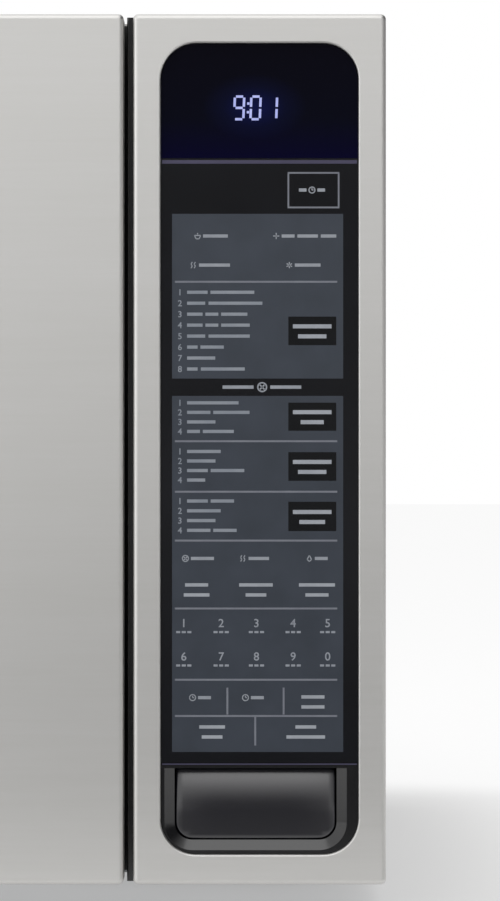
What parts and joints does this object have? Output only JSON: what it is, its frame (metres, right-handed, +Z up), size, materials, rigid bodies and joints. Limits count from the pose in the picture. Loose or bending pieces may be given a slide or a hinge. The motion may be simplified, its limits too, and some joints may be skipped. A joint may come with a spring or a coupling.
{
  "type": "countertop microwave oven",
  "caption": "Countertop convection microwave: stainless door hinged at the left, touch panel with clock and a push button at the right that opens it.",
  "frame": {"origin": "middle of the footprint, on the surface that the feet stand on", "axes": "+X to the right as seen from the front, +Y to the back, +Z up"},
  "size_m": [0.625, 0.511, 0.378],
  "materials": {
    "brushed_stainless": "brushed",
    "cabinet_steel": "satin",
    "galvanised_sheet": "matt, spangled",
    "cavity_steel": "satin",
    "screw_steel": "plated",
    "black_plastic": "fine moulded",
    "gloss_black": "polished",
    "display_dark": "polished",
    "key_film": "printed film",
    "foot_rubber": "matt",
    "tinted_glass": "polished",
    "clear_glass": "polished",
    "screen_steel": "black enamel",
    "choke_plastic": "fine moulded",
    "tray_enamel": "speckled enamel",
    "stay_plastic": "moulded",
    "mica": "layered",
    "lamp_glass": "clear",
    "fin_aluminium": "pressed",
    "core_steel": "varnished laminations",
    "capacitor_can": "drawn",
    "circuit_board": "solder mask",
    "fan_plastic": "moulded",
    "heater_alloy": "oxidised",
    "switch_plastic": "moulded",
    "plunger_plastic": "moulded",
    "white_plastic": "moulded",
    "spring_steel": "drawn"
  },
  "bodies": {
    "root": {"cabinet_wrap": "cabinet_steel", "base_plate": "galvanised_sheet", "rear_panel": "galvanised_sheet", "feet": "foot_rubber", "cabinet_screws": "screw_steel", "cord_gland": "black_plastic", "cavity_front_plate": "cavity_steel", "cavity_liner": "cavity_steel", "waveguide_cover": "mica", "waveguide": "galvanised_sheet", "lamp_housing": "galvanised_sheet", "cavity_lamp": "lamp_glass", "turntable_motor": "galvanised_sheet", "magnetron": "fin_aluminium", "magnetron_cutout": "black_plastic", "high_voltage_transformer": "core_steel", "high_voltage_capacitor": "capacitor_can", "high_voltage_diode": "black_plastic", "filter_board": "circuit_board", "fan_shroud": "fan_plastic", "cooling_fan_motor": "core_steel", "convection_duct": "galvanised_sheet", "convection_heater": "heater_alloy", "convection_fan_motor": "core_steel", "oven_thermostat": "black_plastic", "latch_bracket": "white_plastic", "primary_switch": "switch_plastic", "monitor_switch": "switch_plastic", "secondary_switch": "switch_plastic", "upper_hinge": "screw_steel", "lower_hinge": "screw_steel", "control_bezel": "brushed_stainless", "panel_housing": "gloss_black", "display_lens": "display_dark", "clock_display": "black_plastic", "touch_key_panel": "key_film", "control_board": "circuit_board", "button_spring": "spring_steel"},
    "door": {"door_frame": "brushed_stainless", "door_glass": "tinted_glass", "door_inner_frame": "black_plastic", "door_screen": "screen_steel", "inner_window": "clear_glass", "choke_cover": "choke_plastic", "latch_spring": "spring_steel"},
    "latch": {"latch_hook": "white_plastic"},
    "button": {"open_button": "gloss_black"},
    "lever": {"open_lever": "white_plastic"},
    "primary_plunger": {"primary_plunger": "plunger_plastic"},
    "monitor_plunger": {"monitor_plunger": "plunger_plastic"},
    "secondary_plunger": {"secondary_plunger": "plunger_plastic"},
    "turntable": {"motor_coupling": "stay_plastic", "roller_stay": "stay_plastic", "turntable_tray": "tray_enamel"},
    "roller_1": {"roller_1": "white_plastic"},
    "roller_2": {"roller_2": "white_plastic"},
    "roller_3": {"roller_3": "white_plastic"},
    "cooling_fan": {"cooling_fan": "fan_plastic"},
    "convection_fan": {"convection_fan": "fin_aluminium"}
  },
  "joints": [
    {"name": "door_hinge", "type": "hinge", "parent": "root", "child": "door", "pos_m": [-0.3055, -0.2295, 0.1955], "axis": [0, 0, -1], "range_deg": [0, 105]},
    {"name": "open_button_press", "type": "slide", "parent": "root", "child": "button", "axis": [0, 1, 0], "range_m": [0, 0.005], "stiffness_N_per_m": 300, "deforming": ["button_spring"]},
    {"name": "open_lever_turn", "type": "hinge", "parent": "root", "child": "lever", "pos_m": [0.188, -0.208, 0.0701], "axis": [1, 0, 0], "range_deg": [0, 14.5]},
    {"name": "latch_lift", "type": "slide", "parent": "door", "child": "latch", "axis": [0, 0, 1], "range_m": [0, 0.005], "stiffness_N_per_m": 200, "deforming": ["latch_spring"]},
    {"name": "primary_plunger_travel", "type": "slide", "parent": "root", "child": "primary_plunger", "axis": [0, 0, 1], "range_m": [0, 0.0015]},
    {"name": "monitor_plunger_travel", "type": "slide", "parent": "root", "child": "monitor_plunger", "axis": [0, 0, 1], "range_m": [0, 0.0015]},
    {"name": "secondary_plunger_travel", "type": "slide", "parent": "root", "child": "secondary_plunger", "axis": [0, 0, 1], "range_m": [0, 0.0015]},
    {"name": "turntable_spin", "type": "hinge", "parent": "root", "child": "turntable", "pos_m": [-0.055, -0.0113, 0.089], "axis": [0, 0, 1], "continuous": true},
    {"name": "roller_1_spin", "type": "hinge", "parent": "turntable", "child": "roller_1", "pos_m": [-0.055, 0.1137, 0.0793], "axis": [0, 1, 0], "continuous": true},
    {"name": "roller_2_spin", "type": "hinge", "parent": "turntable", "child": "roller_2", "pos_m": [-0.16325, -0.0738, 0.0793], "axis": [-0.866, -0.5, 0], "continuous": true},
    {"name": "roller_3_spin", "type": "hinge", "parent": "turntable", "child": "roller_3", "pos_m": [0.05325, -0.0738, 0.0793], "axis": [0.866, -0.5, 0], "continuous": true},
    {"name": "cooling_fan_spin", "type": "hinge", "parent": "root", "child": "cooling_fan", "pos_m": [0.23125, 0.2059, 0.135], "axis": [0, 1, 0], "continuous": true},
    {"name": "convection_fan_spin", "type": "hinge", "parent": "root", "child": "convection_fan", "pos_m": [-0.055, 0.2107, 0.1925], "axis": [0, 1, 0], "continuous": true}
  ],
  "couplings": [
    {"joint": "open_lever_turn", "follows": "open_button_press", "rad_per_m": 50},
    {"joint": "latch_lift", "follows": "open_button_press", "ratio": 1},
    {"joint": "primary_plunger_travel", "follows": "open_button_press", "ratio": 0.3},
    {"joint": "monitor_plunger_travel", "follows": "open_button_press", "ratio": 0.3},
    {"joint": "secondary_plunger_travel", "follows": "open_button_press", "ratio": 0.3},
    {"joint": "roller_1_spin", "follows": "turntable_spin", "ratio": -13.889},
    {"joint": "roller_2_spin", "follows": "turntable_spin", "ratio": -13.889},
    {"joint": "roller_3_spin", "follows": "turntable_spin", "ratio": -13.889}
  ]
}
